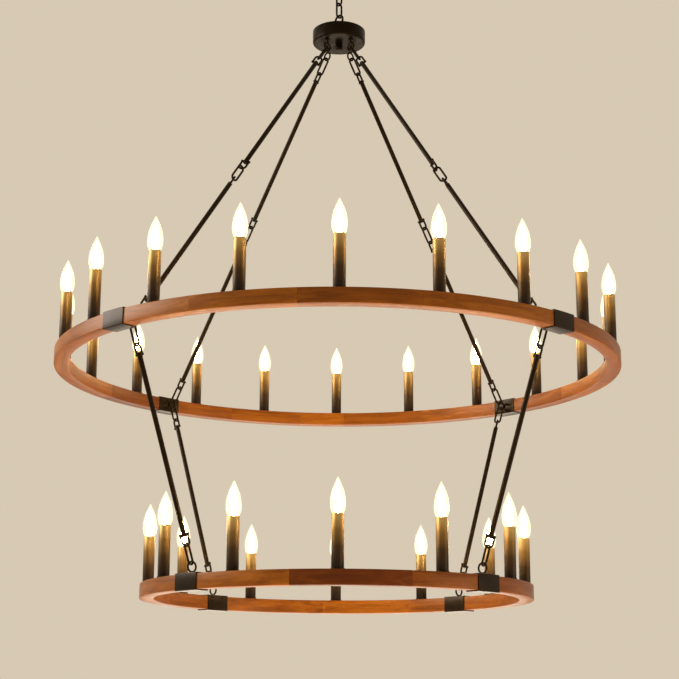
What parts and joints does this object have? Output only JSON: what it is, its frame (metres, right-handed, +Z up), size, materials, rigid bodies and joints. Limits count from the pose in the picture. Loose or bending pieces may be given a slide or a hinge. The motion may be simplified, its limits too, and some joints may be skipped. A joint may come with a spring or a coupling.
{
  "type": "two-tier wagon wheel chandelier",
  "caption": "Two-tier wagon wheel chandelier: wooden wheel rims with candle lamps, hung on rods and links from a round hub on a short chain and ceiling canopy.",
  "frame": {"origin": "middle of the crossbar's top face, on the ceiling plane", "axes": "+Z up, +X along the crossbar, -Y towards the picture's viewer"},
  "size_m": [1.219, 1.219, 1.5188],
  "materials": {
    "black_steel": "satin",
    "bronze_black": "satin",
    "rim_wood": "satin",
    "strip_wood": "matte",
    "bulb_glass": "gloss",
    "bulb_cap": "satin",
    "moulded_insulator": "matte",
    "wire_cover": "matte",
    "zinc_steel": "satin"
  },
  "bodies": {
    "ceiling_mount": {"ceiling_crossbar": "zinc_steel", "canopy_stem": "zinc_steel", "canopy_stem_nut": "zinc_steel", "ceiling_canopy": "black_steel", "canopy_loop": "black_steel"},
    "chain_link_1": {"chain_link_1": "black_steel"},
    "chain_link_2": {"chain_link_2": "black_steel"},
    "chain_link_3": {"chain_link_3": "black_steel"},
    "chain_link_4": {"chain_link_4": "black_steel"},
    "hub": {"hub_eye_nuts": "zinc_steel", "hub_eyes": "black_steel", "hub_knob": "black_steel", "hub_lid": "black_steel", "hub_loop": "black_steel", "hub_shell": "black_steel", "hub_stem": "zinc_steel", "hub_stem_nuts": "zinc_steel", "hub_terminal_blocks": "moulded_insulator"},
    "upper_ring": {"upper_ring_bulb_caps": "bulb_cap", "upper_ring_bulb_globes": "bulb_glass", "upper_ring_candle_cups": "bronze_black", "upper_ring_candle_sleeves": "bronze_black", "upper_ring_clamp_eyes": "black_steel", "upper_ring_clamps": "black_steel", "upper_ring_cover_strip": "strip_wood", "upper_ring_lamp_sockets": "moulded_insulator", "upper_ring_lamp_stems": "zinc_steel", "upper_ring_rim": "rim_wood", "upper_ring_wiring": "wire_cover"},
    "lower_ring": {"lower_ring_bulb_caps": "bulb_cap", "lower_ring_bulb_globes": "bulb_glass", "lower_ring_candle_cups": "bronze_black", "lower_ring_candle_sleeves": "bronze_black", "lower_ring_clamp_eyes": "black_steel", "lower_ring_clamps": "black_steel", "lower_ring_cover_strip": "strip_wood", "lower_ring_lamp_sockets": "moulded_insulator", "lower_ring_lamp_stems": "zinc_steel", "lower_ring_rim": "rim_wood", "lower_ring_wiring": "wire_cover"},
    "back_right_upper_line": {"back_right_upper_rod": "black_steel", "back_right_middle_rod": "black_steel", "back_right_upper_links": "black_steel"},
    "back_right_lower_line": {"back_right_lower_rod": "black_steel", "back_right_lower_links": "black_steel"},
    "back_left_upper_line": {"back_left_upper_rod": "black_steel", "back_left_middle_rod": "black_steel", "back_left_upper_links": "black_steel"},
    "back_left_lower_line": {"back_left_lower_rod": "black_steel", "back_left_lower_links": "black_steel"},
    "front_left_upper_line": {"front_left_upper_rod": "black_steel", "front_left_middle_rod": "black_steel", "front_left_upper_links": "black_steel"},
    "front_left_lower_line": {"front_left_lower_rod": "black_steel", "front_left_lower_links": "black_steel"},
    "front_right_upper_line": {"front_right_upper_rod": "black_steel", "front_right_middle_rod": "black_steel", "front_right_upper_links": "black_steel"},
    "front_right_lower_line": {"front_right_lower_rod": "black_steel", "front_right_lower_links": "black_steel"}
  },
  "joints": [
    {"name": "chain_link_1_swing", "type": "hinge", "parent": "ceiling_mount", "child": "chain_link_1", "pos_m": [0, 0, -0.06125], "axis": [0.7071, 0.7071, 0], "range_deg": [-8, 8]},
    {"name": "chain_link_2_swing", "type": "hinge", "parent": "chain_link_1", "child": "chain_link_2", "pos_m": [0, 0, -0.0917], "axis": [-0.7071, 0.7071, 0], "range_deg": [-8, 8]},
    {"name": "chain_link_3_swing", "type": "hinge", "parent": "chain_link_2", "child": "chain_link_3", "pos_m": [0, 0, -0.1224], "axis": [0.7071, 0.7071, 0], "range_deg": [-8, 8]},
    {"name": "chain_link_4_swing", "type": "hinge", "parent": "chain_link_3", "child": "chain_link_4", "pos_m": [0, 0, -0.1531], "axis": [-0.7071, 0.7071, 0], "range_deg": [-8, 8]},
    {"name": "hub_swing", "type": "hinge", "parent": "chain_link_4", "child": "hub", "pos_m": [0, 0, -0.1838], "axis": [0.7071, 0.7071, 0], "range_deg": [-8, 8]},
    {"name": "upper_ring_twist", "type": "hinge", "parent": "hub", "child": "upper_ring", "pos_m": [0, 0, -1], "axis": [0, 0, 1], "range_deg": [-6, 6]},
    {"name": "lower_ring_twist", "type": "hinge", "parent": "upper_ring", "child": "lower_ring", "pos_m": [0, 0, -1.4866], "axis": [0, 0, 1], "range_deg": [-3, 3]},
    {"name": "back_right_upper_line_turn", "type": "hinge", "parent": "hub", "child": "back_right_upper_line", "pos_m": [0.03054, 0.03054, -0.27635], "axis": [0, 0, 1], "range_deg": [-6.6, 6.6]},
    {"name": "back_left_upper_line_turn", "type": "hinge", "parent": "hub", "child": "back_left_upper_line", "pos_m": [-0.03054, 0.03054, -0.27635], "axis": [0, 0, 1], "range_deg": [-6.6, 6.6]},
    {"name": "front_left_upper_line_turn", "type": "hinge", "parent": "hub", "child": "front_left_upper_line", "pos_m": [-0.03054, -0.03054, -0.27635], "axis": [0, 0, 1], "range_deg": [-6.6, 6.6]},
    {"name": "front_right_upper_line_turn", "type": "hinge", "parent": "hub", "child": "front_right_upper_line", "pos_m": [0.03054, -0.03054, -0.27635], "axis": [0, 0, 1], "range_deg": [-6.6, 6.6]},
    {"name": "back_right_lower_line_swing", "type": "hinge", "parent": "upper_ring", "child": "back_right_lower_line", "pos_m": [0.3973, 0.3973, -1.02439], "axis": [0.7071, 0.7071, 0], "range_deg": [-2.82, 2.82]},
    {"name": "back_left_lower_line_swing", "type": "hinge", "parent": "upper_ring", "child": "back_left_lower_line", "pos_m": [-0.3973, 0.3973, -1.02439], "axis": [-0.7071, 0.7071, 0], "range_deg": [-2.82, 2.82]},
    {"name": "front_left_lower_line_swing", "type": "hinge", "parent": "upper_ring", "child": "front_left_lower_line", "pos_m": [-0.3973, -0.3973, -1.02439], "axis": [-0.7071, -0.7071, 0], "range_deg": [-2.82, 2.82]},
    {"name": "front_right_lower_line_swing", "type": "hinge", "parent": "upper_ring", "child": "front_right_lower_line", "pos_m": [0.3973, -0.3973, -1.02439], "axis": [0.7071, -0.7071, 0], "range_deg": [-2.82, 2.82]}
  ],
  "couplings": [
    {"joint": "chain_link_3_swing", "follows": "chain_link_1_swing", "ratio": 1},
    {"joint": "hub_swing", "follows": "chain_link_1_swing", "ratio": 1},
    {"joint": "chain_link_4_swing", "follows": "chain_link_2_swing", "ratio": 1},
    {"joint": "back_right_upper_line_turn", "follows": "upper_ring_twist", "ratio": 1.0832},
    {"joint": "back_left_upper_line_turn", "follows": "upper_ring_twist", "ratio": 1.0832},
    {"joint": "front_left_upper_line_turn", "follows": "upper_ring_twist", "ratio": 1.0832},
    {"joint": "front_right_upper_line_turn", "follows": "upper_ring_twist", "ratio": 1.0832},
    {"joint": "back_right_lower_line_swing", "follows": "lower_ring_twist", "ratio": 0.908},
    {"joint": "back_left_lower_line_swing", "follows": "lower_ring_twist", "ratio": 0.908},
    {"joint": "front_left_lower_line_swing", "follows": "lower_ring_twist", "ratio": 0.908},
    {"joint": "front_right_lower_line_swing", "follows": "lower_ring_twist", "ratio": 0.908}
  ]
}
